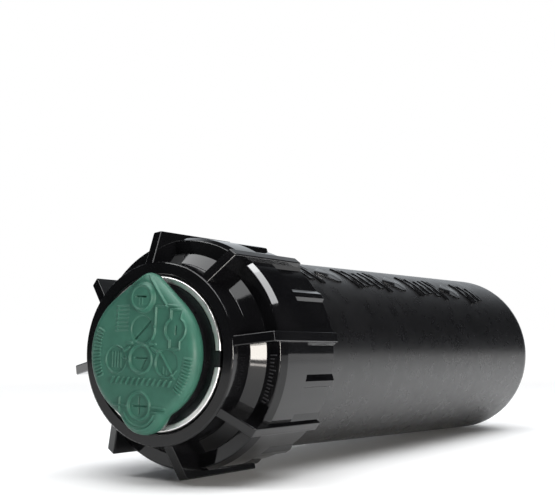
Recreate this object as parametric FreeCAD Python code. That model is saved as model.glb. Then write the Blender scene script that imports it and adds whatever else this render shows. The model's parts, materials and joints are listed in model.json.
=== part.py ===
import FreeCAD, Part
import math
import os

# Gear driven pop-up sprinkler, standing upright and closed.
# Millimetres. +Z runs along the axis from the inlet to the head. The origin is the
# centre of the inlet mouth, and the nozzle points towards -Y.

# Overall sizes
FACE_Z = 181.0  # top face of the cap's collar
COVER_TOP_Z = 187.0
TUBE_Z = 5.0  # where the wide tube starts, above the inlet boss

# Inlet, female 3/4 in pipe thread
INLET_R = 13.3
INLET_LEN = 15.0
BOSS_R = 17.0

# Case
CASE_R_LOW = 25.2
CASE_R_HIGH = 23.75
CASE_END_ROUND = 8.0
CASE_BORE_R = 21.9
CASE_FLOOR_Z = 18.0
BASE_RECESS_R = 21.8
BASE_RECESS_Z = 14.5
CASE_RIM_Z = 166.5
NECK_R = 23.3
NECK_Z = 150.0
GUIDE_COUNT = 6
GUIDE_R = 20.8
GUIDE_W = 1.6

# Screw cap
COLLAR_R = 20.65
MOUTH_R = 17.6
MOUTH_FLOOR_Z = 178.3
SHELF_R = 15.0
POCKET_R = 19.2
POCKET_TOP_Z = 176.8
CEILING_Z = 168.5
CONE_Z = 174.5
LEDGE_Z = 171.0
LEDGE_R = 23.2
EDGE_R = 26.35
EDGE_Z = 168.8
SKIRT_R = 27.05
SKIRT_BORE_R = 24.9
SKIRT_BOTTOM_Z = 146.7
POCKET_FLOOR_R = 26.2
POCKET_TOP = 160.0
GRIP_SLOPE = 1.3  # widths that a pocket's two side walls take up over its depth
BACK_SLOPE = 0.5
LUG_COUNT = 8
LUG_W = 2.3
LUG_R = 28.4
LUG_KNEE_Z = 176.0
LUG_END_Z = 147.7
LUG_START = 11.6  # angle of the first lug, degrees from +X
FIN_W = 1.3  # crest of the low ribs between the lugs

# Riser
SLEEVE_R = 14.5
TUBE_R = 14.05
TUBE_BORE_R = 12.8
RISER_Z0 = 20.0
RISER_TOP_Z = 146.0
SLEEVE_Z0 = 27.5
BEARING_R = 9.0
BEARING_Z = 138.0
RATCHET_Z0 = 21.2
RATCHET_Z1 = 27.0
RATCHET_R = 21.5

# Retract spring
SPRING_R = 18.3
SPRING_WIRE = 2.0
SPRING_TOP_Z = 163.0
SPRING_TURNS = 13.5

# Water path: stator, bypass valve and turbine
STATOR_Z = 60.0
STATOR_H = 3.0
POPPET_R = 6.2
TURBINE_Z = 69.0
TURBINE_H = 5.0
TURBINE_R = 11.6
BLADE_COUNT = 12

# Gear train: four equal steps of 18 to 9 teeth between two parallel shafts
MODULE = 0.4
PRESSURE = math.radians(25)
ADDENDUM = 0.8 * MODULE
DEDENDUM = 1.05 * MODULE
BACKLASH = 0.07
WHEEL_TEETH = 18
PINION_TEETH = 9
GEAR_CENTRES = MODULE * (WHEEL_TEETH + PINION_TEETH) / 2
GEARBOX_Z = 78.0
GEARBOX_R = 11.2
GEARBOX_BORE_R = 10.0
STAGE_Z = 80.2
STAGE_PITCH = 3.4
GEAR_W = 2.8
LID_Z = 94.0
SHAFT_R = 0.9
LAY_R = 0.8
OUTPUT_R = 2.2

# Reversing lever, which turns about the main axis
PLATE_Z = 99.0
PLATE_BORE_R = 5.3
ROD_R = 0.7
ROD_AT = 11.3
TRIP_TOP_Z = 147.1
TRIP_HALF_ANGLE = 16.0
TRIP_SWING = 10.0

# Turret
STEM_R = 8.93
STEM_Z = 118.0
STEM_BORE_R = 6.5
TURRET_R = 14.3
TURRET_Z = 146.6
FLANGE_Z = 178.6
FLANGE_R = 17.3
CROWN_R = 15.95
STEP_Z = 179.35
TAB_W = 3.3
RING_R = 17.4
RING_TOP_Z = 181.1
RING_GAP_W = 3.6

# Arc setting ring and its screw
RING_TEETH = 47
ARC_CENTRES = MODULE * (RING_TEETH + PINION_TEETH) / 2
ARC_Z = 147.4
ARC_W = 2.8

# Nozzle, in a socket that rises 25 degrees towards -Y
NOZZLE_TILT = 25.0
NOZZLE_FROM_Z = 160.0
NOZZLE_R = 5.5
NOZZLE_START = 3.4  # along the socket's axis
NOZZLE_LEN = 8.0

# Screws under the cover
SCREW_R = 1.25
SCREW_TOP_Z = 180.4
RADIUS_SCREW_Y = -12.4
FLOW_SCREW_Y = 1.1
VALVE_Z = 139.5

# Cover
COVER_Z = 181.3
COVER_R = 15.0
COVER_TIP_R = 17.8
TIP_HALF_ANGLE = 38.0
LOBE_AT = 11.3
LOBE_R = 6.5
KEY_X = -9.0
KEY_Y = -5.8
SLIT_W = 0.3

UP = FreeCAD.Vector(0, 0, 1)


def point(x, y, z):
    return FreeCAD.Vector(x, y, z)


def polar(radius, degrees, z=0.0):
    angle = math.radians(degrees)
    return point(radius * math.cos(angle), radius * math.sin(angle), z)


def rounded_wire(corners, place):
    """Closed wire through corners (a, b) or (a, b, radius); place maps a, b to space."""
    edges = []
    arcs = []
    for i, corner in enumerate(corners):
        here = place(corner[0], corner[1])
        radius = corner[2] if len(corner) > 2 else 0.0
        if radius == 0.0:
            arcs.append((here, None, here))
            continue
        back = place(*corners[i - 1][:2]) - here
        on = place(*corners[(i + 1) % len(corners)][:2]) - here
        half = back.getAngle(on) / 2
        back.normalize()
        on.normalize()
        middle = back + on
        middle.normalize()
        reach = radius / math.tan(half)
        depth = radius / math.sin(half) - radius
        arcs.append((here + back * reach, here + middle * depth, here + on * reach))
    for i, (start, middle, end) in enumerate(arcs):
        if middle is not None:
            edges.append(Part.Arc(start, middle, end).toShape())
        after = arcs[(i + 1) % len(arcs)][0]
        if end.distanceToPoint(after) > 1e-6:
            edges.append(Part.LineSegment(end, after).toShape())
    return Part.Wire(edges)


def turned(corners):
    """Solid of revolution about Z from an (r, z) outline."""
    wire = rounded_wire(corners, lambda r, z: point(r, 0, z))
    return Part.Face(wire).revolve(point(0, 0, 0), UP, 360)


def cylinder(radius, z0, z1, x=0.0, y=0.0):
    return Part.makeCylinder(radius, z1 - z0, point(x, y, z0))


def ring(r_in, r_out, z0, z1, x=0.0, y=0.0):
    return cylinder(r_out, z0, z1, x, y).cut(cylinder(r_in, z0 - 1, z1 + 1, x, y))


def bar(r0, r1, width, z0, z1, degrees=0.0):
    """Block that reaches from radius r0 to r1 along a direction in plan."""
    block = Part.makeBox(r1 - r0, width, z1 - z0, point(r0, -width / 2, z0))
    block.rotate(point(0, 0, 0), UP, degrees)
    return block


def sector(r_in, r_out, z0, z1, centre, half):
    """Part of a ring, half degrees to each side of the direction centre."""
    wedge = Part.makeCylinder(r_out, z1 - z0, point(0, 0, z0), UP, 2 * half)
    wedge.rotate(point(0, 0, 0), UP, centre - half)
    return wedge.cut(cylinder(r_in, z0 - 1, z1 + 1))


def around(make, count, start=0.0):
    """The solids that make(angle) gives at count equal steps round the axis."""
    return [make(start + i * 360.0 / count) for i in range(count)]


def tilted(shape, t):
    """Moves a shape made along Z at the origin into the nozzle socket, t along its axis."""
    shape.rotate(point(0, 0, 0), point(1, 0, 0), 90 - NOZZLE_TILT)
    tilt = math.radians(NOZZLE_TILT)
    shape.translate(point(0, -t * math.cos(tilt), NOZZLE_FROM_Z + t * math.sin(tilt)))
    return shape


def coil(radius, wire, z0, z1, turns):
    """Round wire spring whose wire lies between z0 and z1."""
    rise = z1 - z0 - wire
    path = Part.makeHelix(rise / turns, rise, radius)
    path.translate(point(0, 0, z0 + wire / 2))
    section = Part.Wire(Part.makeCircle(wire / 2, point(radius, 0, z0 + wire / 2), point(0, 1, 0)))
    return Part.Wire(path).makePipeShell([section], True, True)


def involute(angle):
    return math.tan(angle) - angle


def gear(teeth, z0, z1, bore, phase=0.0, x=0.0, y=0.0):
    """Spur gear with a tooth at the angle phase."""
    pitch_r = MODULE * teeth / 2
    base_r = pitch_r * math.cos(PRESSURE)
    tip_r = pitch_r + ADDENDUM
    root_r = pitch_r - DEDENDUM
    pitch_half = math.pi / (2 * teeth) - BACKLASH / (2 * pitch_r)

    def half_angle(radius):
        at = math.acos(min(1.0, base_r / radius))
        return pitch_half + involute(PRESSURE) - involute(at)

    start_r = max(base_r, root_r)
    flank = [start_r + (tip_r - start_r) * i / 3 for i in range(4)]
    if root_r < base_r:
        flank.insert(0, root_r)
    corners = []
    for tooth in range(teeth):
        centre = math.radians(phase) + 2 * math.pi * tooth / teeth
        sides = [(r, centre - half_angle(r)) for r in flank]
        sides += [(r, centre + half_angle(r)) for r in reversed(flank)]
        corners += [point(r * math.cos(a) + x, r * math.sin(a) + y, z0) for r, a in sides]
    outline = Part.makePolygon(corners + corners[:1])
    body = Part.Face(outline).extrude(point(0, 0, z1 - z0))
    return body.cut(cylinder(bore, z0 - 1, z1 + 1, x, y))


def stage_z(stage):
    return STAGE_Z + STAGE_PITCH * stage


# ---- case, cap and seals -------------------------------------------------------------

def case_body():
    shell = turned([
        (INLET_R, 0.0), (BOSS_R, 0.0, 0.5), (BOSS_R, TUBE_Z), (CASE_R_LOW, TUBE_Z, CASE_END_ROUND),
        (CASE_R_HIGH, NECK_Z - 1), (CASE_R_HIGH, NECK_Z), (NECK_R, NECK_Z + 0.3),
        (NECK_R, CASE_RIM_Z, 0.3), (CASE_BORE_R, CASE_RIM_Z, 0.3), (CASE_BORE_R, CASE_FLOOR_Z, 1.5),
        (11.0, CASE_FLOOR_Z), (11.0, INLET_LEN), (INLET_R, INLET_LEN),
    ])
    shell = shell.cut(ring(BOSS_R, BASE_RECESS_R, TUBE_Z - 1, BASE_RECESS_Z))
    gussets = around(
        lambda a: bar(BOSS_R - 0.5, BASE_RECESS_R + 0.3, 1.8, TUBE_Z + 3, BASE_RECESS_Z + 0.5, a), 8
    )
    guides = around(
        lambda a: bar(GUIDE_R, CASE_BORE_R + 0.5, GUIDE_W, CASE_FLOOR_Z - 0.5, 160.0, a), GUIDE_COUNT
    )
    threads = [
        turned([(NECK_R - 0.3, z - 0.9), (NECK_R + 1.2, z - 0.25), (NECK_R + 1.2, z + 0.25),
                (NECK_R - 0.3, z + 0.9)])
        for z in (154.0, 158.0, 162.0)
    ]
    return shell.fuse(gussets + guides + threads)


def lug(degrees):
    """Grip rib of the cap: from the collar's edge out to a knee, then down the skirt."""
    outline = rounded_wire(
        [(20.2, FACE_Z - 0.35), (LUG_R, LUG_KNEE_Z, 0.5), (LUG_R - 0.2, LUG_END_Z),
         (25.5, LUG_END_Z), (20.2, LEDGE_Z - 1.0)],
        lambda r, z: point(r, -LUG_W / 2, z),
    )
    rib = Part.Face(outline).extrude(point(0, LUG_W, 0))
    rib = rib.makeFillet(0.3, rib.Edges)
    rib.rotate(point(0, 0, 0), UP, degrees)
    return rib


def skirt_pocket(degrees, before, after):
    """Tool for one sunk panel of the skirt, between ridges whose half widths are given.

    The wall that pushes the hand when the cap is tightened slopes; the other is steep.
    """
    depth = SKIRT_R - POCKET_FLOOR_R
    past = 0.4
    outer_r = SKIRT_R + past
    grip_spill = GRIP_SLOPE * past / depth
    back_spill = BACK_SLOPE * past / depth
    step = 180.0 / LUG_COUNT
    floor = [math.degrees((before + GRIP_SLOPE) / POCKET_FLOOR_R),
             step - math.degrees((after + BACK_SLOPE) / POCKET_FLOOR_R)]
    mouth = [math.degrees((before - grip_spill) / outer_r),
             step - math.degrees((after - back_spill) / outer_r)]
    z = SKIRT_BOTTOM_Z - 1
    inner = [polar(POCKET_FLOOR_R, a, z) for a in (floor[0], sum(floor) / 2, floor[1])]
    outer = [polar(outer_r, a, z) for a in (mouth[1], sum(mouth) / 2, mouth[0])]
    outline = Part.Wire([
        Part.Arc(*inner).toShape(), Part.LineSegment(inner[2], outer[0]).toShape(),
        Part.Arc(*outer).toShape(), Part.LineSegment(outer[2], inner[0]).toShape(),
    ])
    tool = Part.Face(outline).extrude(point(0, 0, POCKET_TOP - z))
    tool.rotate(point(0, 0, 0), UP, degrees)
    return tool


def screw_cap():
    outer = turned([
        (0.0, SKIRT_BOTTOM_Z), (SKIRT_R, SKIRT_BOTTOM_Z, 0.4), (SKIRT_R, EDGE_Z, 0.5),
        (EDGE_R, LEDGE_Z, 0.3), (LEDGE_R, LEDGE_Z), (LEDGE_R, LEDGE_Z + 0.45, 0.15),
        (COLLAR_R, CONE_Z, 0.6), (COLLAR_R, FACE_Z, 0.4), (0.0, FACE_Z),
    ])
    lug_half = LUG_W / 2
    fin_half = FIN_W / 2
    fin_start = LUG_START + 180.0 / LUG_COUNT
    pockets = around(lambda a: skirt_pocket(a, lug_half, fin_half), LUG_COUNT, LUG_START)
    pockets += around(lambda a: skirt_pocket(a, fin_half, lug_half), LUG_COUNT, fin_start)
    lugs = around(lug, LUG_COUNT, LUG_START)
    hollow = turned([
        (0.0, SKIRT_BOTTOM_Z - 1), (SKIRT_BORE_R, SKIRT_BOTTOM_Z - 1), (SKIRT_BORE_R, CEILING_Z),
        (POCKET_R, CEILING_Z), (POCKET_R, POCKET_TOP_Z), (SHELF_R, POCKET_TOP_Z),
        (SHELF_R, MOUTH_FLOOR_Z), (MOUTH_R, MOUTH_FLOOR_Z), (MOUTH_R, FACE_Z - 0.5),
        (MOUTH_R + 0.5, FACE_Z), (MOUTH_R + 0.5, FACE_Z + 1), (0.0, FACE_Z + 1),
    ])
    threads = [
        turned([(SKIRT_BORE_R + 0.3, z - 0.9), (SKIRT_BORE_R + 0.3, z + 0.9),
                (SKIRT_BORE_R - 1.2, z + 0.25), (SKIRT_BORE_R - 1.2, z - 0.25)])
        for z in (152.0, 156.0, 160.0)
    ]
    return outer.cut(pockets).fuse(lugs).cut(hollow).fuse(threads).removeSplitter()


def cap_gasket():
    return Part.makeTorus(24.1, 0.62, point(0, 0, 165.4))


def wiper_seal():
    return turned([
        (15.2, CEILING_Z + 0.05), (19.1, CEILING_Z + 0.05), (19.1, 176.6, 0.3), (18.0, 176.6, 0.3),
        (18.0, 170.2), (17.0, 170.2), (15.6, 175.4, 0.3), (SLEEVE_R + 0.05, 175.4, 0.1),
        (SLEEVE_R + 0.05, 174.9), (15.2, 171.0),
    ])


def seal_retainer():
    return turned([
        (SLEEVE_R + 0.4, SPRING_TOP_Z + 0.1), (20.6, SPRING_TOP_Z + 0.1), (20.6, CASE_RIM_Z + 0.02),
        (24.4, CASE_RIM_Z + 0.02), (24.4, CEILING_Z), (SLEEVE_R + 0.4, CEILING_Z),
    ])


def retract_spring():
    return coil(SPRING_R, SPRING_WIRE, RATCHET_Z1 + 0.1, SPRING_TOP_Z, SPRING_TURNS)


# ---- riser and what is fixed in it ---------------------------------------------------

def riser_tube():
    shell = ring(TUBE_BORE_R, TUBE_R, RISER_Z0, RISER_TOP_Z)
    bearing = ring(BEARING_R, TUBE_BORE_R + 0.5, BEARING_Z, RISER_TOP_Z)
    reach = TRIP_HALF_ANGLE + TRIP_SWING + 6
    slot = sector(9.7, 12.3, BEARING_Z - 1, RISER_TOP_Z + 1, 0.0, reach)
    return shell.fuse(bearing).cut(slot)


def riser_sleeve():
    return ring(TUBE_R + 0.03, SLEEVE_R, SLEEVE_Z0, RISER_TOP_Z)


def ratchet_ring():
    body = turned([
        (TUBE_R + 0.03, RATCHET_Z0), (RATCHET_R, RATCHET_Z0, 0.5), (RATCHET_R, RATCHET_Z1, 0.5),
        (TUBE_R + 0.03, RATCHET_Z1),
    ])
    notches = around(
        lambda a: bar(GUIDE_R - 0.35, RATCHET_R + 1, GUIDE_W + 0.8, RATCHET_Z0 - 1, RATCHET_Z1 + 1, a),
        GUIDE_COUNT,
    )
    return body.cut(notches)


def filter_screen():
    cup = ring(9.0, 10.0, 18.5, 39.0).fuse(cylinder(10.0, 39.0, 40.4))
    flange = ring(9.0, TUBE_R, 18.5, RISER_Z0).fuse(ring(11.6, TUBE_BORE_R - 0.05, RISER_Z0, 25.0))
    slots = around(lambda a: bar(8.0, 11.0, 1.1, 24.0, 37.0, a), 16)
    return cup.cut(slots).fuse(flange)


def stator():
    top = STATOR_Z + STATOR_H
    rim = ring(5.4, TUBE_BORE_R - 0.03, STATOR_Z, top)
    hub = ring(1.46, 3.0, STATOR_Z, top)
    spokes = around(lambda a: bar(2.5, 6.0, 1.4, STATOR_Z, top, a), 3)
    jets = []
    for i in range(8):
        jet = Part.makeCylinder(0.9, 9.0, point(0, 0, -4.5))
        jet.rotate(point(0, 0, 0), point(1, 0, 0), 35)
        jet.translate(point(9.6, 0, STATOR_Z + STATOR_H / 2))
        jet.rotate(point(0, 0, 0), UP, 45.0 * i)
        jets.append(jet)
    return rim.cut(jets).fuse([hub] + spokes)


def bypass_spring():
    return coil(2.25, 0.6, 53.3, STATOR_Z - 0.05, 5)


def bypass_poppet():
    top = STATOR_Z + STATOR_H
    disc = turned([(0, top + 0.05), (POPPET_R, top + 0.05, 0.3), (POPPET_R, top + 1.3, 0.3),
                   (2.0, top + 1.7), (0, top + 1.7)])
    stem = cylinder(1.4, 52.0, top + 0.5)
    collar = cylinder(2.9, 52.0, 53.2)
    return disc.fuse([stem, collar])


def gearbox_shell():
    wall = ring(GEARBOX_BORE_R, GEARBOX_R, GEARBOX_Z, LID_Z)
    floor = ring(2.45, GEARBOX_R, GEARBOX_Z, GEARBOX_Z + 1.6)
    fins = around(lambda a: bar(GEARBOX_R - 0.4, TUBE_BORE_R - 0.05, 1.5, 80.0, 92.0, a), 4, 45.0)
    pin_hole = cylinder(LAY_R, GEARBOX_Z, GEARBOX_Z + 2, GEAR_CENTRES)
    return wall.fuse([floor] + fins).cut(pin_hole)


def gearbox_lid():
    disc = ring(OUTPUT_R + 1.65, GEARBOX_R, LID_Z, LID_Z + 2)
    gland = ring(OUTPUT_R + 1.65, PLATE_BORE_R - 0.08, LID_Z + 1, 104.0)
    stop = ring(PLATE_BORE_R - 0.2, 6.4, LID_Z + 1.8, PLATE_Z - 0.1)
    pin_hole = cylinder(LAY_R, LID_Z - 0.1, LID_Z + 1, GEAR_CENTRES)
    return disc.fuse([gland, stop]).cut(pin_hole)


def lay_pin():
    return cylinder(LAY_R, GEARBOX_Z + 0.2, LID_Z + 0.8, GEAR_CENTRES)


def input_bush():
    return ring(SHAFT_R + 0.06, 2.43, GEARBOX_Z - 1.0, GEARBOX_Z + 1.6).fuse(
        ring(2.3, 3.4, GEARBOX_Z - 1.0, GEARBOX_Z - 0.02)
    )


def output_bush():
    return ring(OUTPUT_R + 0.06, OUTPUT_R + 1.63, LID_Z, 99.0)


def shaft_seal():
    inner = OUTPUT_R + 0.06
    outer = OUTPUT_R + 1.63
    return turned([(inner, 99.2), (outer, 99.2), (outer, 103.5, 0.2), (outer - 0.5, 103.5, 0.2),
                   (outer - 0.5, 100.2), (inner + 0.6, 100.2), (inner + 0.3, 102.8), (inner, 102.8)])


# ---- turbine and reduction gears -----------------------------------------------------

def turbine_wheel():
    hub = ring(SHAFT_R, 2.6, TURBINE_Z, TURBINE_Z + TURBINE_H + 1)
    middle = TURBINE_Z + TURBINE_H / 2
    band = ring(TURBINE_R - 0.7, TURBINE_R, TURBINE_Z, TURBINE_Z + TURBINE_H)
    blades = []
    for i in range(BLADE_COUNT):
        blade = Part.makeBox(TURBINE_R - 2.4, 0.8, TURBINE_H, point(2.2, -0.4, -TURBINE_H / 2))
        blade.rotate(point(0, 0, 0), point(1, 0, 0), 32)
        blade.translate(point(0, 0, middle))
        blade.rotate(point(0, 0, 0), UP, i * 360.0 / BLADE_COUNT)
        blades.append(blade)
    return hub.fuse([band] + blades)


def turbine_shaft():
    return cylinder(SHAFT_R, TURBINE_Z - 0.5, stage_z(3) - 0.4)


def thrust_washer():
    return ring(SHAFT_R + 0.06, 2.2, TURBINE_Z + TURBINE_H + 1.2, TURBINE_Z + TURBINE_H + 2.0)


def input_pinion():
    return gear(PINION_TEETH, stage_z(0), stage_z(0) + GEAR_W, SHAFT_R)


def cluster_gear(stage):
    """Compound gear: its wheel meshes on this stage, its pinion on the next one."""
    on_lay_pin = stage % 2 == 0
    x = GEAR_CENTRES if on_lay_pin else 0.0
    bore = (LAY_R if on_lay_pin else SHAFT_R) + 0.06
    phase = 180.0 / WHEEL_TEETH if on_lay_pin else 0.0
    z = stage_z(stage)
    wheel = gear(WHEEL_TEETH, z, z + GEAR_W, bore, phase, x)
    neck = ring(bore, 1.3, z + GEAR_W - 0.1, z + STAGE_PITCH + 0.1, x)
    pinion = gear(PINION_TEETH, z + STAGE_PITCH - 0.2, z + STAGE_PITCH + GEAR_W, bore, 0.0, x)
    return wheel.fuse([neck, pinion]).removeSplitter()


def output_gear():
    return gear(WHEEL_TEETH, stage_z(3), stage_z(3) + GEAR_W, OUTPUT_R - 0.2)


def output_shaft():
    z = stage_z(3)
    return cylinder(OUTPUT_R - 0.2, z, z + GEAR_W).fuse(cylinder(OUTPUT_R, z + GEAR_W, 123.0))


# ---- reversing mechanism -------------------------------------------------------------

def shift_plate():
    plate_ring = ring(PLATE_BORE_R, 8.0, PLATE_Z, PLATE_Z + 1.4)
    arm = bar(7.0, 12.1, 3.0, PLATE_Z, PLATE_Z + 1.4)
    return plate_ring.fuse(arm).cut(cylinder(ROD_R, PLATE_Z - 1, PLATE_Z + 3, ROD_AT))


def trip_rod():
    return cylinder(ROD_R, PLATE_Z, 141.0, ROD_AT)


def trip_lever():
    block = sector(9.85, 12.15, 139.0, RISER_TOP_Z - 0.2, 0.0, TRIP_HALF_ANGLE)
    nose = sector(9.85, 12.15, RISER_TOP_Z - 0.4, TRIP_TOP_Z, 0.0, 5.0)
    return block.fuse(nose).cut(cylinder(ROD_R, 138.0, 141.0, ROD_AT))


def trip_spring():
    return coil(6.2, 0.6, PLATE_Z + 1.5, PLATE_Z + 4.2, 3)


# ---- turret --------------------------------------------------------------------------

def drilled(y, radius, z0):
    """Tool that opens a vertical screw hole from z0 up through the turret's top."""
    return cylinder(radius, z0, FACE_Z + 1, 0.0, y)


def turret_body():
    solid = cylinder(STEM_R, STEM_Z, TURRET_Z + 1).fuse([
        cylinder(TURRET_R, TURRET_Z, FLANGE_Z + 0.2),
        cylinder(FLANGE_R, FLANGE_Z, STEP_Z),
        cylinder(CROWN_R, STEP_Z - 0.1, FACE_Z),
        bar(CROWN_R - 1, RING_R - 0.1, TAB_W, STEP_Z - 0.1, FACE_Z, 0.0),
        bar(CROWN_R - 1, RING_R - 0.1, TAB_W, STEP_Z - 0.1, FACE_Z, 180.0),
    ])
    water = cylinder(STEM_BORE_R, 134.3, 158.0).fuse([
        cylinder(4.6, 130.0, 135.0), cylinder(STEM_BORE_R, STEM_Z - 1, 132.0),
        Part.makeSphere(STEM_BORE_R, point(0, 0, 158.0)),
    ])
    socket = tilted(Part.makeCylinder(NOZZLE_R + 0.03, 16.0), 2.0)
    screws = [drilled(RADIUS_SCREW_Y, SCREW_R + 0.06, 165.0), drilled(FLOW_SCREW_Y, 1.75, 158.0),
              drilled(ARC_CENTRES, SCREW_R + 0.06, 149.0)]
    arc_room = ring(8.2, 12.7, TURRET_Z - 1, 150.6).fuse(
        cylinder(2.4, TURRET_Z - 1, 150.6, 0.0, ARC_CENTRES)
    )
    grooves = [ring(7.9, STEM_R + 1, 143.6, 145.2), ring(8.0, STEM_R + 1, 136.8, 137.8)]
    key_slot = cylinder(2.0, 172.0, FACE_Z + 1, KEY_X, KEY_Y).fuse(
        Part.makeBox(2.4, 8.0, 6.0, point(KEY_X - 1.2, KEY_Y - 4.0, FACE_Z - 5))
    )
    hub = ring(OUTPUT_R, 3.2, STEM_Z, 124.0).fuse(
        around(lambda a: bar(3.0, 7.2, 1.3, STEM_Z, 123.0, a), 3)
    )
    cuts = [water, socket, arc_room, key_slot] + screws + grooves
    return solid.cut(cuts).fuse(hub)


def retaining_clip():
    body = ring(8.02, 10.3, 136.85, 137.75)
    return body.cut(bar(7.0, 11.0, 8.0, 136.0, 139.0, 180.0))


def stem_o_ring():
    return turned([(7.95, 143.65, 0.3), (STEM_R + 0.04, 143.65, 0.4), (STEM_R + 0.04, 145.15, 0.4),
                   (7.95, 145.15, 0.3)])


def thrust_ring():
    return ring(12.9, 14.0, RISER_TOP_Z + 0.05, TURRET_Z)


def arc_ring():
    toothed = gear(RING_TEETH, ARC_Z, ARC_Z + ARC_W, 8.3, 90.0)
    tab = sector(9.3, 11.9, ARC_Z, ARC_Z + 1.4, 270.0, 5.0)
    return toothed.fuse(tab)


def screw(y, z0, radius, top=SCREW_TOP_Z):
    """Setting screw with a chamfered tip and a straight driving slot."""
    shank = turned([(0, z0), (radius - 0.5, z0), (radius, z0 + 0.6), (radius, top, 0.15), (0, top)])
    shank.translate(point(0, y, 0))
    slot = Part.makeBox(2 * radius + 1, 0.6, 1.0, point(-radius - 0.5, y - 0.3, top - 0.9))
    return shank.cut(slot)


def radius_screw():
    return screw(RADIUS_SCREW_Y, 171.2, SCREW_R)


def arc_screw():
    pinion = gear(PINION_TEETH, ARC_Z, ARC_Z + ARC_W, 0.4, 10.0, 0.0, ARC_CENTRES)
    return screw(ARC_CENTRES, ARC_Z + 0.1, SCREW_R).fuse(pinion)


def flow_screw():
    head = screw(FLOW_SCREW_Y, 172.0, 1.65)
    return head.fuse(cylinder(1.1, 146.0, 173.0, 0.0, FLOW_SCREW_Y))


def flow_valve():
    disc = turned([(0, VALVE_Z), (4.6, VALVE_Z, 0.3), (5.9, VALVE_Z + 1.2), (5.9, VALVE_Z + 2.2, 0.3),
                   (0, VALVE_Z + 2.2)])
    boss = cylinder(2.5, VALVE_Z + 1, 155.5, 0.0, FLOW_SCREW_Y)
    return disc.fuse(boss).cut(cylinder(1.17, VALVE_Z - 1, 156.0, 0.0, FLOW_SCREW_Y))


def lip_ring():
    body = turned([(CROWN_R + 0.05, STEP_Z), (RING_R, STEP_Z), (RING_R, RING_TOP_Z, 0.3),
                   (CROWN_R + 0.05, RING_TOP_Z, 0.3)])
    gap = bar(-20.0, 20.0, RING_GAP_W, STEP_Z - 1, RING_TOP_Z + 1)
    return body.cut(gap)


def nozzle():
    body = turned([(4.4, 0.9), (NOZZLE_R, 0.9), (NOZZLE_R, NOZZLE_LEN, 0.3), (2.4, NOZZLE_LEN, 0.2)])
    return tilted(body, NOZZLE_START)


def nozzle_gasket():
    return tilted(ring(4.5, NOZZLE_R - 0.05, 0.0, 0.88), NOZZLE_START)


# ---- cover ---------------------------------------------------------------------------

def cover_outline():
    """Round cover drawn out to a point over the nozzle and a round lobe opposite."""
    start = polar(COVER_R, 270 + TIP_HALF_ANGLE)
    end = polar(COVER_R, 270 - TIP_HALF_ANGLE)
    tip = point(0, -COVER_TIP_R - 0.7, 0)
    disc = Part.Face(Part.Wire(Part.makeCircle(COVER_R)))
    wedge = rounded_wire(
        [(0, 0), (end.x, end.y), (tip.x, tip.y, 1.6), (start.x, start.y)],
        lambda x, y: point(x, y, 0),
    )
    lobe = Part.Face(Part.Wire(Part.makeCircle(LOBE_R, point(0, LOBE_AT, 0))))
    return disc.fuse([Part.Face(wedge), lobe]).removeSplitter()


def slit(x, y, length, degrees):
    """Thin cut through the cover that a key or screwdriver opens."""
    block = Part.makeBox(length, SLIT_W, 10.0, point(-length / 2, -SLIT_W / 2, FACE_Z))
    block.rotate(point(0, 0, 0), UP, degrees)
    block.translate(point(x, y, 0))
    return block


def rubber_cover():
    base = cover_outline()
    base.translate(point(0, 0, COVER_Z))
    slab = base.extrude(point(0, 0, COVER_TOP_Z - COVER_Z))
    top = [e for e in slab.Edges if e.BoundBox.ZMin > COVER_TOP_Z - 0.01]
    slab = slab.makeFillet(1.6, top)
    slits = [slit(0, RADIUS_SCREW_Y, 3.0, 0), slit(0, ARC_CENTRES, 3.0, 90),
             slit(0, FLOW_SCREW_Y, 3.4, 0), slit(KEY_X, KEY_Y, 6.0, 90)]
    plugs = [cylinder(2.2, FACE_Z + 0.02, COVER_Z + 0.1, 5.5, y) for y in (-5.5, 5.5)]
    return slab.cut(slits).fuse(plugs)


NODES = {
    "case_body": case_body,
    "screw_cap": screw_cap,
    "cap_gasket": cap_gasket,
    "wiper_seal": wiper_seal,
    "seal_retainer": seal_retainer,
    "retract_spring": retract_spring,
    "riser_tube": riser_tube,
    "riser_sleeve": riser_sleeve,
    "ratchet_ring": ratchet_ring,
    "filter_screen": filter_screen,
    "stator": stator,
    "bypass_spring": bypass_spring,
    "bypass_poppet": bypass_poppet,
    "gearbox_shell": gearbox_shell,
    "gearbox_lid": gearbox_lid,
    "lay_pin": lay_pin,
    "input_bush": input_bush,
    "output_bush": output_bush,
    "shaft_seal": shaft_seal,
    "turbine_wheel": turbine_wheel,
    "turbine_shaft": turbine_shaft,
    "thrust_washer": thrust_washer,
    "input_pinion": input_pinion,
    "cluster_gear_1": lambda: cluster_gear(0),
    "cluster_gear_2": lambda: cluster_gear(1),
    "cluster_gear_3": lambda: cluster_gear(2),
    "output_gear": output_gear,
    "output_shaft": output_shaft,
    "shift_plate": shift_plate,
    "trip_rod": trip_rod,
    "trip_lever": trip_lever,
    "trip_spring": trip_spring,
    "turret_body": turret_body,
    "retaining_clip": retaining_clip,
    "stem_o_ring": stem_o_ring,
    "thrust_ring": thrust_ring,
    "arc_ring": arc_ring,
    "arc_screw": arc_screw,
    "radius_screw": radius_screw,
    "flow_screw": flow_screw,
    "flow_valve": flow_valve,
    "lip_ring": lip_ring,
    "nozzle": nozzle,
    "nozzle_gasket": nozzle_gasket,
    "rubber_cover": rubber_cover,
}

os.makedirs("parts", exist_ok=True)
for name, make in NODES.items():
    shape = make()
    solids = shape.Solids
    print(name, "solids", len(solids), "valid", shape.isValid(), "volume", round(shape.Volume, 1))
    piece = solids[0] if len(solids) == 1 else Part.makeCompound(solids)
    piece.exportStep(f"parts/{name}.step")
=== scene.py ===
import json
import math

import bpy
import numpy as np
from mathutils import Matrix, Vector


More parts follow.
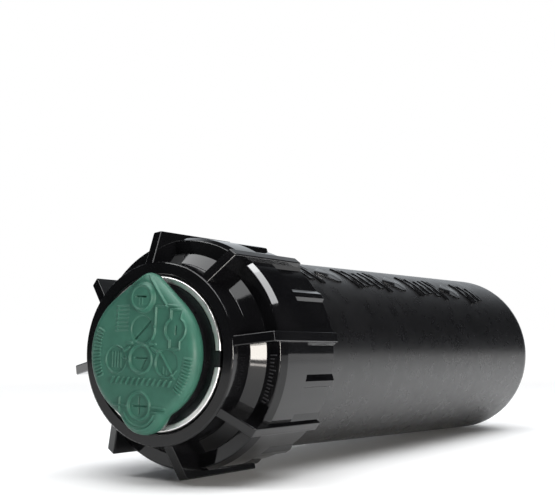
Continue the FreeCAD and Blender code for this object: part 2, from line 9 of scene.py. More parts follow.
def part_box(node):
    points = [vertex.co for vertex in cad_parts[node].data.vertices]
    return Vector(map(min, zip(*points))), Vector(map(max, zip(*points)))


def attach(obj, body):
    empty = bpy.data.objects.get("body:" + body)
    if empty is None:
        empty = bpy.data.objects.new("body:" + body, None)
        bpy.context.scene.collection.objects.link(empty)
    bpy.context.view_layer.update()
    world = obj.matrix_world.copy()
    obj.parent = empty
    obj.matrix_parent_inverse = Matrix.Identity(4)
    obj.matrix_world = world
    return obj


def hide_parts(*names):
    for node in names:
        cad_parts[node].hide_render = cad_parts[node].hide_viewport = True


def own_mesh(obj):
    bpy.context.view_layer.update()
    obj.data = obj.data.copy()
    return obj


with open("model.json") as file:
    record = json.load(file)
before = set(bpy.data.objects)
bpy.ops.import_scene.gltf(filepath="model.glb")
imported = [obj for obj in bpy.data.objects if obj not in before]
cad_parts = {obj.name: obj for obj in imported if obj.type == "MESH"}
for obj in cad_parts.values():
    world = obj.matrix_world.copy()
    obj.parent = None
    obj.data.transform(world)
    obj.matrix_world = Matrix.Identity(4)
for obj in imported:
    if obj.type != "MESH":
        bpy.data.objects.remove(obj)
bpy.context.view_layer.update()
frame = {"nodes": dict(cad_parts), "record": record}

# Places that the CAD frame gives, in metres
FACE_Z = 0.181  # top face of the cap's collar
COVER_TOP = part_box("rubber_cover")[1].z
COVER_BOTTOM = 0.1813
TURN = math.radians(181.0)  # from the cover's own right and up directions to the row's X and Y
FIRST_LUG = math.radians(11.6)
LEDGE_Z = 0.171
MARK_ANGLE = TURN + math.radians(58.0)  # side of the case that the moulded emblem is on
MARK_RISE = 0.00035


# ---- helpers -------------------------------------------------------------------------

def add_mesh(name, vertices, faces, sharp=40.0):
    """New smooth-shaded mesh object with edges sharper than the given angle kept crisp."""
    mesh = bpy.data.meshes.new(name)
    mesh.from_pydata([tuple(v) for v in vertices], [], [tuple(f) for f in faces])
    mesh.update()
    mesh.shade_smooth()
    mesh.set_sharp_from_angle(angle=math.radians(sharp))
    piece = bpy.data.objects.new(name, mesh)
    bpy.context.scene.collection.objects.link(piece)
    return piece


def finish_piece(piece, body, material):
    piece.data.materials.clear()
    piece.data.materials.append(material)
    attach(piece, body)
    return piece


def smooth_step(low, high, value):
    t = np.clip((value - low) / (high - low), 0.0, 1.0)
    return t * t * (3 - 2 * t)


# ---- materials -----------------------------------------------------------------------

class Nodes:
    """A material's node tree with a Principled shader and a few building blocks."""

    def __init__(self, name):
        self.material = bpy.data.materials.new(name)
        self.material.use_nodes = True
        self.tree = self.material.node_tree
        self.shader = self.tree.nodes["Principled BSDF"]
        self.coordinates = self.add("ShaderNodeTexCoord").outputs["Object"]

    def add(self, kind, **settings):
        node = self.tree.nodes.new(kind)
        for key, value in settings.items():
            setattr(node, key, value)
        return node

    def link(self, a, b):
        self.tree.links.new(a, b)

    def noise(self, scale, detail=3.0, roughness=0.5, stretch=(1, 1, 1)):
        mapping = self.add("ShaderNodeMapping")
        mapping.inputs["Scale"].default_value = stretch
        self.link(self.coordinates, mapping.inputs["Vector"])
        node = self.add("ShaderNodeTexNoise")
        node.inputs["Scale"].default_value = scale
        node.inputs["Detail"].default_value = detail
        node.inputs["Roughness"].default_value = roughness
        self.link(mapping.outputs["Vector"], node.inputs["Vector"])
        return node.outputs["Fac"]

    def spread(self, value, low, high, source_low=0.3, source_high=0.7):
        node = self.add("ShaderNodeMapRange")
        node.inputs["From Min"].default_value = source_low
        node.inputs["From Max"].default_value = source_high
        node.inputs["To Min"].default_value = low
        node.inputs["To Max"].default_value = high
        self.link(value, node.inputs["Value"])
        return node.outputs["Result"]

    def blend(self, factor, first, second):
        node = self.add("ShaderNodeMix", data_type="RGBA")
        node.inputs["A"].default_value = (*first, 1.0)
        node.inputs["B"].default_value = (*second, 1.0)
        self.link(factor, node.inputs["Factor"])
        return node.outputs["Result"]

    def colour(self, socket):
        self.link(socket, self.shader.inputs["Base Color"])

    def roughness(self, socket):
        self.link(socket, self.shader.inputs["Roughness"])

    def bump(self, height, strength, distance):
        node = self.add("ShaderNodeBump")
        node.inputs["Strength"].default_value = strength
        node.inputs["Distance"].default_value = distance
        self.link(height, node.inputs["Height"])
        before = self.shader.inputs["Normal"].links
        if before:
            self.link(before[0].from_socket, node.inputs["Normal"])
        self.link(node.outputs["Normal"], self.shader.inputs["Normal"])

    def set(self, **values):
        for key, value in values.items():
            self.shader.inputs[key.replace("_", " ")].default_value = value


def plastic(name, dark, light, rough, grain=0.15, ior=1.5):
    """Moulded plastic: uneven gloss, faint flow marks and a fine grain."""
    n = Nodes(name)
    n.set(IOR=ior)
    n.colour(n.blend(n.spread(n.noise(90.0, 4.0), 0, 1), dark, light))
    n.roughness(n.spread(n.noise(260.0, 5.0, 0.6), rough[0], rough[1]))
    n.bump(n.noise(120.0, 2.0), 0.05, 0.0004)
    n.bump(n.noise(3500.0, 2.0), grain, 0.00004)
    return n.material


def rubber(name, dark, light, rough, grain=0.3):
    """Moulded rubber: dull, with a dusty bloom and a fine pebbled skin."""
    n = Nodes(name)
    n.set(IOR=1.4)
    n.colour(n.blend(n.spread(n.noise(220.0, 6.0, 0.6), 0, 1), dark, light))
    n.roughness(n.spread(n.noise(500.0, 4.0), rough[0], rough[1]))
    n.bump(n.noise(2600.0, 3.0), grain, 0.00006)
    return n.material


def steel(name, colour, rough, stretch=(1, 1, 1), scale=900.0, depth=0.1):
    """Bright or drawn metal, with fine lines along the direction that stretch leaves long."""
    n = Nodes(name)
    n.set(Metallic=1.0)
    darker = tuple(c * 0.88 for c in colour)
    lines = n.noise(scale, 4.0, 0.6, stretch)
    n.colour(n.blend(n.spread(lines, 0, 1), darker, colour))
    n.roughness(n.spread(lines, rough[0], rough[1]))
    n.bump(lines, depth, 0.00002)
    return n.material


BLACK = (0.002, 0.002, 0.0024)

case_black = plastic("case_black", (0.003, 0.003, 0.0035), (0.005, 0.005, 0.0057), (0.25, 0.33), 0.1)
cap_black = plastic("cap_black", BLACK, (0.004, 0.004, 0.0045), (0.05, 0.09), 0.02, 1.42)
mark_black = plastic("mark_black", BLACK, (0.004, 0.004, 0.0045), (0.16, 0.24), 0.05)
tick_black = plastic("tick_black", (0.02, 0.02, 0.022), (0.03, 0.03, 0.033), (0.25, 0.35), 0.05)
turret_black = plastic("turret_black", BLACK, (0.008, 0.008, 0.009), (0.2, 0.28))
inner_black = plastic("inner_black", (0.02, 0.02, 0.022), (0.03, 0.03, 0.033), (0.35, 0.45))
acetal = plastic("acetal", (0.68, 0.67, 0.62), (0.78, 0.77, 0.72), (0.3, 0.42))
screen_grey = plastic("screen_grey", (0.2, 0.21, 0.23), (0.28, 0.29, 0.31), (0.4, 0.5))
nozzle_red = plastic("nozzle_red", (0.42, 0.03, 0.02), (0.52, 0.05, 0.03), (0.25, 0.35))
green_rubber = rubber("green_rubber", (0.020, 0.086, 0.060), (0.030, 0.116, 0.081), (0.42, 0.54))
seal_black = rubber("seal_black", (0.012, 0.012, 0.012), (0.02, 0.02, 0.02), (0.5, 0.6))
bright_steel = steel("bright_steel", (0.88, 0.87, 0.85), (0.28, 0.38))
drawn_steel = steel("drawn_steel", (0.58, 0.58, 0.59), (0.26, 0.36), (1, 1, 0.03), depth=0.015)
spring_wire = steel("spring_wire", (0.55, 0.55, 0.56), (0.22, 0.35))
turned_brass = steel("turned_brass", (0.75, 0.55, 0.25), (0.2, 0.32), (0.05, 0.05, 1))

SLOT_MATERIALS = {
    "case_plastic": case_black,
    "cap_plastic": cap_black,
    "turret_plastic": turret_black,
    "inner_plastic": inner_black,
    "acetal": acetal,
    "screen_plastic": screen_grey,
    "nozzle_plastic": nozzle_red,
    "seal_rubber": seal_black,
    "cover_rubber": green_rubber,
    "stainless": drawn_steel,
    "ring_steel": bright_steel,
    "spring_steel": spring_wire,
    "brass": turned_brass,
}


def paint_frame():
    """Gives every CAD node the material of its slot."""
    slots = {s["node"]: s["material_slot"] for s in frame["record"]["subparts"]}
    for name, node in frame["nodes"].items():
        node.data.materials.clear()
        node.data.materials.append(SLOT_MATERIALS[slots[name]])


# ---- green cover ---------------------------------------------------------------------

# The cover's own plan is in millimetres: u to the right, v up towards the point.
COVER_R = 15.0  # circle that the point's straight sides touch
ROUND_R = 14.85  # round part, and where its centre is along u
COVER_SHIFT = -0.45
POINT_R = 17.8
LOBE_AT = 11.3
LOBE_R = 6.5
SHOULDER = 1.9  # rounding of the top edge
PLAIN_DROP = 0.3  # plain top under the CAD cover's top
CROWN = 0.35
RELIEF = 1.25
COVER_WALL = ((0.15, 0.0), (0.5, 0.2), (0.62, 0.9), (0.62, 2.5))  # share of the way down, and inset
SEAT_LOW = 181.02
SEAT_TOP = 182.7


def outline_radius(angle):
    """Radius of the cover's edge: a circle, drawn out to a point above and a lobe below."""
    from_point = np.abs((angle - math.pi / 2 + math.pi) % (2 * math.pi) - math.pi)
    apex = POINT_R + 1.2
    slope = math.asin(COVER_R / apex)
    aside = COVER_SHIFT * np.cos(angle)
    circle = aside + np.sqrt(ROUND_R**2 - (COVER_SHIFT * np.sin(angle)) ** 2)
    wedge = COVER_R / np.sin(np.clip(slope + from_point, 0.1, math.pi - 0.1))
    wedge = np.where(from_point < math.pi / 2 - slope, wedge, COVER_R) + circle - COVER_R
    wedge = -np.log(np.exp(-wedge * 2.4) + math.exp(-(POINT_R + 0.25) * 2.4)) / 2.4
    from_lobe = np.abs((angle + math.pi / 2 + math.pi) % (2 * math.pi) - math.pi)
    inside = np.clip(LOBE_R**2 - (LOBE_AT * np.sin(from_lobe)) ** 2, 0.0, None)
    lobe = np.where(from_lobe < 0.6, LOBE_AT * np.cos(from_lobe) + np.sqrt(inside), 0.0)
    sharp = 3.0
    higher = np.maximum(wedge, lobe)
    lower = np.minimum(wedge, lobe)
    return higher + np.log1p(np.exp((lower - higher) * sharp)) / sharp * (lobe > 0)


def to_segment(u, v, a, b):
    """Distance from each point to the segment from a to b."""
    du, dv = b[0] - a[0], b[1] - a[1]
    t = np.clip(((u - a[0]) * du + (v - a[1]) * dv) / (du * du + dv * dv), 0, 1)
    return np.hypot(u - a[0] - t * du, v - a[1] - t * dv)


def to_arc(u, v, centre, radius, start, end):
    """Distance to an arc that runs anticlockwise from start to end, in degrees."""
    du, dv = u - centre[0], v - centre[1]
    angle = np.degrees(np.arctan2(dv, du))
    inside = (angle - start) % 360.0 <= (end - start) % 360.0 if end - start < 360 else True
    ends = [
        np.hypot(
            du - radius * math.cos(math.radians(a)), dv - radius * math.sin(math.radians(a))
        )
        for a in (start, end)
    ]
    return np.where(inside, np.abs(np.hypot(du, dv) - radius), np.minimum(*ends))


def ridge(distance, width, height, soft=0.14):
    """Raised line of that width; a negative height cuts a groove."""
    return height * (1 - smooth_step(width / 2 - soft, width / 2 + soft, distance))


def disc(u, v, centre, radius, height, soft=0.16):
    distance = np.hypot(u - centre[0], v - centre[1])
    return height * (1 - smooth_step(radius - soft, radius + soft, distance))


def strokes(u, v, lines, width, height):
    """Highest of a group of straight ridges, each line given as two end points."""
    distance = np.min([to_segment(u, v, a, b) for a, b in lines], axis=0)
    return ridge(distance, width, height)


def radial_ticks(u, v, radius, length, start, end, count, width, height):
    """Row of short raised bars that point to the centre, between two angles."""
    lines = []
    for i in range(count):
        angle = math.radians(start + (end - start) * i / (count - 1))
        inner, outer = radius - length / 2, radius + length / 2
        lines.append((
            (inner * math.cos(angle), inner * math.sin(angle)),
            (outer * math.cos(angle), outer * math.sin(angle)),
        ))
    return strokes(u, v, lines, width, height)


LINE, RISE = 0.36, 0.36  # width and height of the plain raised lines
RADIUS_SCREW = (0, 12.4)  # centres of the symbols
SHUT_OFF = (0, 5.4)
MIDDLE = (0, -1.1)
LEFT_DISC = (-6.9, -1.5)
RIGHT_DISC = (7.1, -1.7)
ARC_SCREW = (0, -11.3)
RIM_TICKS_R = 12.6


def point_symbols(u, v):
    """Boss over the radius screw, with its slit, and the folded edges of the point."""
    height = disc(u, v, RADIUS_SCREW, 3.15, 0.85, 0.35)
    height += disc(u, v, RADIUS_SCREW, 2.5, -0.18, 0.2)
    height += strokes(u, v, [((-1.6, 12.6), (1.1, 12.6))], 0.3, -0.5)
    height += strokes(u, v, [((-0.5, 12.0), (-0.5, 10.9)), ((0.3, 12.0), (0.3, 10.9))], 0.24, 0.16)
    height += strokes(u, v, [((-3.6, 15.2), (0.4, 18.0)), ((0.4, 18.0), (6.7, 10.6))], 0.42, 0.35)
    return height + strokes(u, v, [((3.7, 10.6), (3.7, 6.2)), ((3.7, 10.6), (6.4, 10.6))], LINE, RISE)


def shut_off_symbol(u, v):
    """Sunk disc with a slanting slot, and part of a ring round it."""
    height = ridge(to_arc(u, v, SHUT_OFF, 3.7, -35, 10), LINE, RISE)
    height += disc(u, v, SHUT_OFF, 3.0, -0.28)
    return height + strokes(u, v, [((-1.9, 3.3), (2.1, 7.3))], 0.42, -0.4)


def middle_symbol(u, v):
    """Ring with a pointer in it and two short links on each side."""
    height = ridge(to_arc(u, v, MIDDLE, 3.1, 0, 360), 0.5, 0.3)
    height += disc(u, v, MIDDLE, 2.8, -0.2)
    height += strokes(u, v, [((-1.6, -0.9), (1.6, -0.9)), ((1.2, -1.2), (0.3, -3.2))], 0.34, -0.3)
    for side in (-1, 1):
        link = [((side * 3.1, 1.4), (side * 4.6, 0.5)), ((side * 2.5, 2.3), (side * 4.0, 2.3))]
        height += strokes(u, v, link, 0.55, 0.3)
    return height


def side_symbols(u, v):
    """Sunk disc with bars on the left, and one crossed by a slanting line on the right."""
    height = disc(u, v, LEFT_DISC, 2.9, -0.2)
    height += ridge(to_arc(u, v, LEFT_DISC, 3.0, 0, 360), 0.28, 0.14)
    bars = [((-8.1 + 0.8 * i, -3.2), (-8.1 + 0.8 * i, 0.1)) for i in range(4)]
    height += strokes(u, v, bars, 0.3, 0.2)
    height += strokes(u, v, [((-5.2, -1.2), (-3.8, -1.2))], 0.3, 0.2)
    height += disc(u, v, RIGHT_DISC, 2.9, -0.22)
    height += ridge(to_arc(u, v, RIGHT_DISC, 3.0, 120, 330), 0.32, 0.2)
    height += strokes(u, v, [((5.0, 0.9), (9.3, -4.9))], 0.4, 0.34)
    return height + strokes(u, v, [((6.2, -2.6), (6.2, -4.0)), ((7.0, -3.0), (7.0, -4.2))], 0.26, 0.16)


def keyhole_symbol(u, v):
    """Outline of the hole for the pull-up key, sunk inside."""
    shaft = np.maximum(np.abs(u - 9.0) - 1.35, np.abs(v - 5.8) - 4.3)
    bulge = np.hypot(u - 9.0, v - 5.6) - 2.7
    keyhole = np.minimum(shaft, bulge)
    height = ridge(np.abs(keyhole), 0.34, 0.26)
    height += -0.18 * (1 - smooth_step(-0.3, 0.0, keyhole))
    height += strokes(u, v, [((9.0, 4.6), (9.0, 6.4))], 0.3, -0.35)
    return height + strokes(u, v, [((7.0, 10.9), (10.6, 10.7))], LINE, RISE)


def arc_screw_symbol(u, v):
    """Ring with a crossed slot, a plus mark, two bars and a curved track."""
    height = ridge(to_arc(u, v, ARC_SCREW, 3.0, 0, 360), 0.5, 0.34)
    height += disc(u, v, ARC_SCREW, 2.7, -0.15)
    height += strokes(u, v, [((-1.8, -11.4), (1.8, -11.4)), ((0, -9.5), (0, -13.0))], 0.3, -0.3)
    height += strokes(u, v, [((-7.3, -11.5), (-3.3, -11.5)), ((-5.4, -9.7), (-5.4, -13.3))], LINE, RISE)
    height += strokes(u, v, [((3.6, -11.5), (6.9, -11.5)), ((3.6, -12.4), (6.9, -12.4))], LINE, RISE)
    height += ridge(to_arc(u, v, ARC_SCREW, 4.4, 205, 335), 0.34, 0.26)
    return height + ridge(to_arc(u, v, ARC_SCREW, 5.2, 215, 325), 0.3, 0.2)


def rim_marks(u, v):
    """Ladder beside the boss, ticks along both rims and a row of leaning bars."""
    rungs = [((-7.4, 10.3 - 0.9 * i), (-3.9, 10.5 - 0.9 * i)) for i in range(7)]
    height = strokes(u, v, rungs, 0.26, 0.13)
    height += strokes(u, v, [((-6.9, 10.2), (-6.9, 4.8))], 0.26, 0.13)
    height += radial_ticks(u, v, RIM_TICKS_R, 1.7, 157, 205, 15, 0.42, 0.24)
    height += radial_ticks(u, v, RIM_TICKS_R, 1.7, -38, -2, 12, 0.42, 0.24)
    bars = [((-8.0 + 1.45 * i, -6.6), (-7.3 + 1.45 * i, -5.4)) for i in range(12)]
    return height + strokes(u, v, bars, 0.4, 0.4)


SYMBOLS = (
    point_symbols, shut_off_symbol, middle_symbol, side_symbols,
    keyhole_symbol, arc_screw_symbol, rim_marks,
)


def cover_relief(u, v):
    """Height of the adjustment symbols over the cover's plain top, in millimetres."""
    return RELIEF * sum(symbol(u, v) for symbol in SYMBOLS)


def cover_mesh():
    """Cover as rings of points from the middle of its top, over the shoulder and under."""
    around, across = 900, 150
    angle = np.linspace(0, 2 * math.pi, around, endpoint=False)
    edge = outline_radius(angle)
    share = (np.arange(1, across + 1) / across) ** 0.85
    radius = share[:, None] * edge[None, :]
    u, v = radius * np.cos(angle), radius * np.sin(angle)
    depth = (1 - share)[:, None] * edge[None, :]
    slope = np.gradient(edge, angle) / edge
    depth = depth * np.cos(np.arctan(slope))[None, :]
    curve = np.clip(SHOULDER - depth, 0, SHOULDER)
    plain = COVER_TOP * 1000 - PLAIN_DROP - CROWN * (radius / COVER_R) ** 2
    fall = SHOULDER - np.sqrt(np.clip(SHOULDER**2 - curve**2, 0, None))
    fade = smooth_step(0.1, 1.0, depth)
    z = plain - fall + cover_relief(u, v) * fade
    rings = [np.stack([u, v, z], axis=-1)]
    wall_top = z[-1]
    for part, inset in COVER_WALL:
        scale = (edge - inset) / edge
        low = wall_top + (COVER_BOTTOM * 1000 - wall_top) * part
        rings.append(np.stack([u[-1] * scale, v[-1] * scale, low], axis=-1)[None])
    points = np.concatenate(rings).reshape(-1, 3)
    count = across + len(COVER_WALL)
    centre_z = float(z[0].mean())
    points = np.vstack([points, [[0, 0, centre_z], [0, 0, COVER_BOTTOM * 1000]]])
    faces = []
    for ring_number in range(count - 1):
        a = ring_number * around
        for i in range(around):
            j = (i + 1) % around
            faces.append((a + i, a + around + i, a + around + j, a + j))
    top_centre, low_centre = count * around, count * around + 1
    last = (count - 1) * around
    for i in range(around):
        j = (i + 1) % around
        faces.append((top_centre, i, j))
        faces.append((low_centre, last + j, last + i))
    cos, sin = math.cos(TURN), math.sin(TURN)
    x = points[:, 0] * cos - points[:, 1] * sin
    y = points[:, 0] * sin + points[:, 1] * cos
    return np.stack([x, y, points[:, 2]], axis=-1) / 1000.0, faces


def make_seat():
    """Black shelf of the turret that the cover sits in, just inside the cover's own outline."""
    around = 240
    angle = np.linspace(0, 2 * math.pi, around, endpoint=False)
    edge = outline_radius(angle)
    vertices, faces = [], []
    profile = (
        (1.6, SEAT_LOW), (0.75, SEAT_LOW), (0.75, SEAT_TOP - 0.25), (1.0, SEAT_TOP), (3.0, SEAT_TOP)
    )
    for inset, z in profile:
        for a, r in zip(angle + TURN, edge - inset):
            vertices.append((r * math.cos(a) / 1000, r * math.sin(a) / 1000, z / 1000))
    last = (len(profile) - 1) * around
    for a in range(0, last, around):
        for i in range(around):
            j = (i + 1) % around
            faces.append((a + i, a + j, a + around + j, a + around + i))
    faces.append(tuple(range(last, last + around)))
    faces.append(tuple(reversed(range(around))))
    seat = add_mesh("turret_seat", vertices, faces, 30.0)
    finish_piece(seat, "turret", turret_black)


def make_cover():
    vertices, faces = cover_mesh()
    cover = add_mesh("cover", vertices, faces, 70.0)
    finish_piece(cover, "turret", green_rubber)
    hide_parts("rubber_cover")


# ---- springs -------------------------------------------------------------------------

def coil_mesh(radius, wire, low, high, turns):
    """Round wire along a helix that fills the height from low to high."""
    per_turn, sides = 36, 10
    count = int(per_turn * turns) + 1
    rise = high - low - wire
    vertices, faces = [], []
    for i in range(count):
        turn = 2 * math.pi * i / per_turn
        z = low + wire / 2 + rise * i / (count - 1)
        for k in range(sides):
            around = 2 * math.pi * k / sides
            r = radius + wire / 2 * math.cos(around)
            vertices.append((r * math.cos(turn), r * math.sin(turn), z + wire / 2 * math.sin(around)))
    for i in range(count - 1):
        for k in range(sides):
            a, b = i * sides + k, i * sides + (k + 1) % sides
            faces.append((a, a + sides, b + sides, b))
    faces.append(tuple(range(sides)))
    faces.append(tuple(reversed(range((count - 1) * sides, count * sides))))
    return vertices, faces


RETRACT_TOP = 0.163
BYPASS_TOP = 0.05995


def make_springs():
    """The two springs as coils of round wire, in place of the CAD ones, each on the part that holds its
    upper end.
    """
    retract = add_mesh("spring_retract", *coil_mesh(0.0183, 0.002, 0.0271, RETRACT_TOP, 13.5))
    finish_piece(retract, "case", spring_wire)
    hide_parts("retract_spring")
    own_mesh(retract)
    bypass = add_mesh("spring_bypass", *coil_mesh(0.00225, 0.0006, 0.0533, BYPASS_TOP, 5))
    finish_piece(bypass, "riser", spring_wire)
    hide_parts("bypass_spring")
    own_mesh(bypass)


# ---- marks and detail on the black parts ---------------------------------------------

CASE_LOW = (0.005, 0.0252)  # height and radius at the case's two ends
CASE_HIGH = (0.149, 0.02375)
SUNK = 0.0003  # how far a raised mark reaches into what it stands on


def case_radius(z):
    share = (z - CASE_LOW[0]) / (CASE_HIGH[0] - CASE_LOW[0])
    return CASE_LOW[1] + (CASE_HIGH[1] - CASE_LOW[1]) * share


def raised_pad(points, radius_at, rise, vertices, faces):
    """Adds a flat-topped pad to the lists; points (along z, along the arc) go round its outline."""
    base = len(vertices)
    count = len(points)
    middle = (sum(p[0] for p in points) / count, sum(p[1] for p in points) / count)
    for level, shrink in ((-SUNK, 1.0), (rise * 0.6, 1.0), (rise, 0.93), (rise, 0.0)):
        for z, arc in points:
            z = middle[0] + (z - middle[0]) * shrink
            arc = middle[1] + (arc - middle[1]) * shrink
            angle = arc / radius_at(z)
            reach = radius_at(z) + level
            vertices.append((reach * math.cos(angle), reach * math.sin(angle), z))
    for level in range(3):
        for i in range(count):
            j = (i + 1) % count
            a, b = base + level * count, base + (level + 1) * count
            faces.append((a + i, a + j, b + j, b + i))


def block(z, arc, length, width, lean=0.0):
    """Outline of a leaning bar with its long side across the case, cut into short steps."""
    steps = 8
    shares = [t / steps for t in range(steps + 1)]
    lower = [(z - width / 2 + lean * share, arc + length * (share - 0.5)) for share in shares]
    upper = [(p[0] + width, p[1]) for p in reversed(lower)]
    return lower + upper


def drop(z, arc, size):
    """Outline of a water drop whose point is towards the cap."""
    outline = []
    for i in range(28):
        turn = 2 * math.pi * i / 28
        pull = 1 + 0.9 * max(0.0, math.cos(turn)) ** 4
        outline.append((z + size * math.cos(turn) * pull, arc - size * math.sin(turn)))
    return outline


def make_case_marks():
    """Low moulded emblem along the case: drops between groups of plain leaning bars."""
    vertices, faces = [], []
    centre = MARK_ANGLE * case_radius(0.09)
    outlines = []
    for middle in (0.124, 0.088, 0.052):
        outlines.append(drop(middle, centre, 0.0036))
        for side in (-1, 1):
            for step in range(3):
                z = middle + side * (0.0095 + 0.0042 * step)
                outlines.append(block(z, centre, 0.0098 - 0.0018 * step, 0.0021, 0.0012))
    for outline in outlines:
        raised_pad(outline, case_radius, MARK_RISE, vertices, faces)
    marks = add_mesh("case_marks", vertices, faces, 30.0)
    finish_piece(marks, "case", mark_black)


def make_ledge_ticks():
    """Fine moulded scale on the cap's ledge, after two opposite grip ribs."""
    vertices, faces = [], []
    inner, half = 0.0240, 0.00016
    for lug_number in (0, 4):
        start = FIRST_LUG + lug_number * math.pi / 4
        for i in range(14):
            angle = start - math.radians(8.5 + 1.9 * i)
            outer = inner + (0.0009 if i % 4 else 0.0015)
            ring_points = [(inner, -half), (outer, -half), (outer, half), (inner, half)]
            base = len(vertices)
            for height, shrink in ((LEDGE_Z - SUNK, 1.0), (LEDGE_Z + MARK_RISE, 0.8)):
                for radius, across in ring_points:
                    turn = angle + across * shrink / radius
                    vertices.append((radius * math.cos(turn), radius * math.sin(turn), height))
            faces.append((base + 4, base + 5, base + 6, base + 7))
            for k in range(4):
                j = (k + 1) % 4
                faces.append((base + k, base + j, base + 4 + j, base + 4 + k))
    ticks = add_mesh("ledge_ticks", vertices, faces, 30.0)
    finish_piece(ticks, "case", tick_black)


# ---- stage ---------------------------------------------------------------------------

# The camera's own frame: right, down and forward. The cap's face centre is at FACE in it, and
# the object's tail points along a direction given by YAW and PITCH.
FACE = Vector((-0.02705, 0.02345, 0.257))
YAW = math.radians(31.9)
PITCH = math.radians(4.4)
LENS = 74.6


def camera_axes():
    """The row's X, Y and Z directions, each in the camera's frame."""
    tail = Vector((
        math.sin(YAW) * math.cos(PITCH), math.sin(PITCH), math.cos(YAW) * math.cos(PITCH)
    ))
    right = Vector((math.cos(YAW), 0, -math.sin(YAW)))
    up = right.cross(tail)
    cos, sin = math.cos(-TURN), math.sin(-TURN)
    row_x = right * cos + up * sin
    row_y = right * -sin + up * cos
    return row_x, row_y, -tail


def make_camera():
    row_x, row_y, row_z = camera_axes()
    to_camera = Matrix((row_x, row_y, row_z)).transposed()
    to_row = to_camera.transposed()
    place = Vector((0, 0, FACE_Z)) - to_row @ FACE
    flip = Matrix(((1, 0, 0), (0, -1, 0), (0, 0, -1)))
    camera = bpy.data.objects.new("camera", bpy.data.cameras.new("camera"))
    bpy.context.scene.collection.objects.link(camera)
    camera.matrix_world = Matrix.Translation(place) @ (to_row @ flip).to_4x4()
    camera.data.lens = LENS
    camera.data.sensor_width = 36.0
    camera.data.clip_start = 0.01
    camera.data.clip_end = 20.0
    bpy.context.scene.camera = camera
    return camera


def from_camera(camera, right, up, forward):
    """A place given in metres to the camera's right, up and forward."""
    return camera.matrix_world @ Vector((right, up, -forward))


def floor_material():
    """White paper, lit by the lamps near the object and glowing evenly far from it."""
    n = Nodes("paper_white")
    n.colour(n.blend(n.spread(n.noise(8.0), 0, 1), (0.93, 0.93, 0.93), (0.95, 0.95, 0.95)))
    n.set(Roughness=0.6)
    length = n.add("ShaderNodeVectorMath", operation="LENGTH")
    n.link(n.coordinates, length.inputs[0])
    glow = n.add("ShaderNodeEmission")
    glow.inputs["Strength"].default_value = 1.05
    far = n.add("ShaderNodeMixShader")
    n.link(n.spread(length.outputs["Value"], 0, 1, 0.16, 0.36), far.inputs["Fac"])
    n.link(n.shader.outputs["BSDF"], far.inputs[1])
    n.link(glow.outputs["Emission"], far.inputs[2])
    clear = n.add("ShaderNodeBsdfTransparent")
    side = n.add("ShaderNodeNewGeometry")
    mix = n.add("ShaderNodeMixShader")
    n.link(side.outputs["Backfacing"], mix.inputs["Fac"])
    n.link(far.outputs["Shader"], mix.inputs[1])
    n.link(clear.outputs["BSDF"], mix.inputs[2])
    n.link(mix.outputs["Shader"], n.tree.nodes["Material Output"].inputs["Surface"])
    return n.material


def floor_plane():
    """A point and the normal of the plane under the lying object: a lug and the tail touch it."""
    down = math.radians(92.5)
    low_z, high_z = 0.0131, 0.1477
    low_r, high_r = 0.02512, 0.0282
    tilt = math.atan((high_r - low_r) / (high_z - low_z))
    flat = math.cos(tilt)
    normal = -Vector((math.cos(down) * flat, math.sin(down) * flat, -math.sin(tilt)))
    return Vector((math.cos(down) * low_r, math.sin(down) * low_r, low_z)), normal


def make_floor():
    touch, normal = floor_plane()
    half = 3
    corners = [(-half, -half, 0), (half, -half, 0), (half, half, 0), (-half, half, 0)]
    floor = add_mesh("floor", corners, [(0, 1, 2, 3)])
    turn = normal.to_track_quat("Z", "Y").to_matrix().to_4x4()
    floor.matrix_world = Matrix.Translation(touch) @ turn
    floor.data.materials.append(floor_material())
    return floor


LAMP_WHITE = (0.98, 0.99, 1.0)
WARM = (1.0, 0.94, 0.88)
CREAM = (1.0, 0.95, 0.88)


def softbox(camera, name, place, target, size, power, along=(1, 0, 0)):
    """Rectangular lamp. Place, target and its first side's direction are right, up and forward."""
    light = bpy.data.lights.new(name, "AREA")
    light.shape = "RECTANGLE"
    light.size, light.size_y = size
    light.energy = power
    light.color = LAMP_WHITE
    lamp = bpy.data.objects.new(name, light)
    bpy.context.scene.collection.objects.link(lamp)
    start, end = from_camera(camera, *place), from_camera(camera, *target)
    back = (start - end).normalized()
    side = from_camera(camera, *along) - from_camera(camera, 0, 0, 0)
    side = (side - back * side.dot(back)).normalized()
    turn = Matrix((side, back.cross(side), back)).transposed()
    lamp.matrix_world = Matrix.Translation(start) @ turn.to_4x4()
    return lamp


def set_range(node, source_low, source_high, low, high):
    """Fills in a Map Range node that eases from one end to the other."""
    node.interpolation_type = "SMOOTHSTEP"
    node.inputs["From Min"].default_value = source_low
    node.inputs["From Max"].default_value = source_high
    node.inputs["To Min"].default_value = low
    node.inputs["To Max"].default_value = high


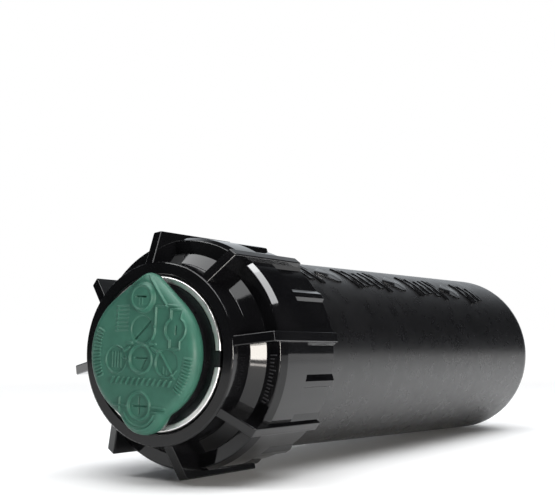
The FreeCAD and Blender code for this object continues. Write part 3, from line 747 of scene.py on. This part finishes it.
def make_world(backdrop):
    """White behind the object; where it is only reflected, a dark room, paler low down and ahead."""
    world = bpy.data.worlds.new("studio")
    bpy.context.scene.world = world
    world.use_nodes = True
    nodes, links = world.node_tree.nodes, world.node_tree.links
    seen = nodes["Background"]
    seen.inputs["Color"].default_value = (1, 1, 1, 1)
    seen.inputs["Strength"].default_value = 1.0
    direction = nodes.new("ShaderNodeTexCoord")
    height = nodes.new("ShaderNodeVectorMath")
    height.operation = "DOT_PRODUCT"
    height.inputs[1].default_value = floor_plane()[1]
    walls = nodes.new("ShaderNodeMapRange")
    set_range(walls, 0.02, 0.26, 0.08, 0.012)
    room = nodes.new("ShaderNodeBackground")
    room.inputs["Color"].default_value = (0.9, 0.95, 1, 1)
    ahead = nodes.new("ShaderNodeVectorMath")
    ahead.operation = "DOT_PRODUCT"
    ahead.inputs[1].default_value = backdrop
    behind = nodes.new("ShaderNodeMapRange")
    set_range(behind, 0.78, 0.97, 0.0, 0.8)
    total = nodes.new("ShaderNodeMath")
    total.operation = "ADD"
    path = nodes.new("ShaderNodeLightPath")
    mix = nodes.new("ShaderNodeMixShader")
    links.new(direction.outputs["Generated"], height.inputs[0])
    links.new(height.outputs["Value"], walls.inputs["Value"])
    links.new(direction.outputs["Generated"], ahead.inputs[0])
    links.new(ahead.outputs["Value"], behind.inputs["Value"])
    links.new(walls.outputs["Result"], total.inputs[0])
    links.new(behind.outputs["Result"], total.inputs[1])
    links.new(total.outputs["Value"], room.inputs["Strength"])
    links.new(path.outputs["Is Camera Ray"], mix.inputs["Fac"])
    links.new(room.outputs["Background"], mix.inputs[1])
    links.new(seen.outputs["Background"], mix.inputs[2])
    links.new(mix.outputs["Shader"], nodes["World Output"].inputs["Surface"])


def make_stage():
    camera = make_camera()
    make_floor()
    make_world(from_camera(camera, 0, 0, 1) - from_camera(camera, 0, 0, 0))
    cap = (-0.03, -0.02, 0.26)
    middle = (0.03, -0.03, 0.32)
    softbox(camera, "overhead", (0.02, 0.6, 0.30), middle, (0.7, 0.7), 6.0)
    softbox(camera, "right_top", (0.37, 0.455, 0.42), cap, (0.43, 0.12), 1.7, (0.24, -0.13, -0.22))
    softbox(camera, "front_right", (0.25, 0.06, -0.22), cap, (0.12, 0.18), 0.6)
    card = softbox(camera, "card", (0.08, -0.0405, 0.11), (0.08, 0.9595, 0.048), (0.12, 0.13), 0.6)
    card.data.color = WARM
    flare = softbox(camera, "flare", (0.185, 0.008, -0.01), cap, (0.11, 0.075), 0.8)
    flare.data.color = CREAM
    softbox(camera, "left_graze", (-0.30, 0.30, 0.20), cap, (0.10, 0.10), 0.5)
    scene = bpy.context.scene
    scene.view_settings.view_transform = "Standard"
    scene.view_settings.look = "None"


paint_frame()
make_cover()
make_seat()
make_springs()
make_case_marks()
make_ledge_ticks()
make_stage()
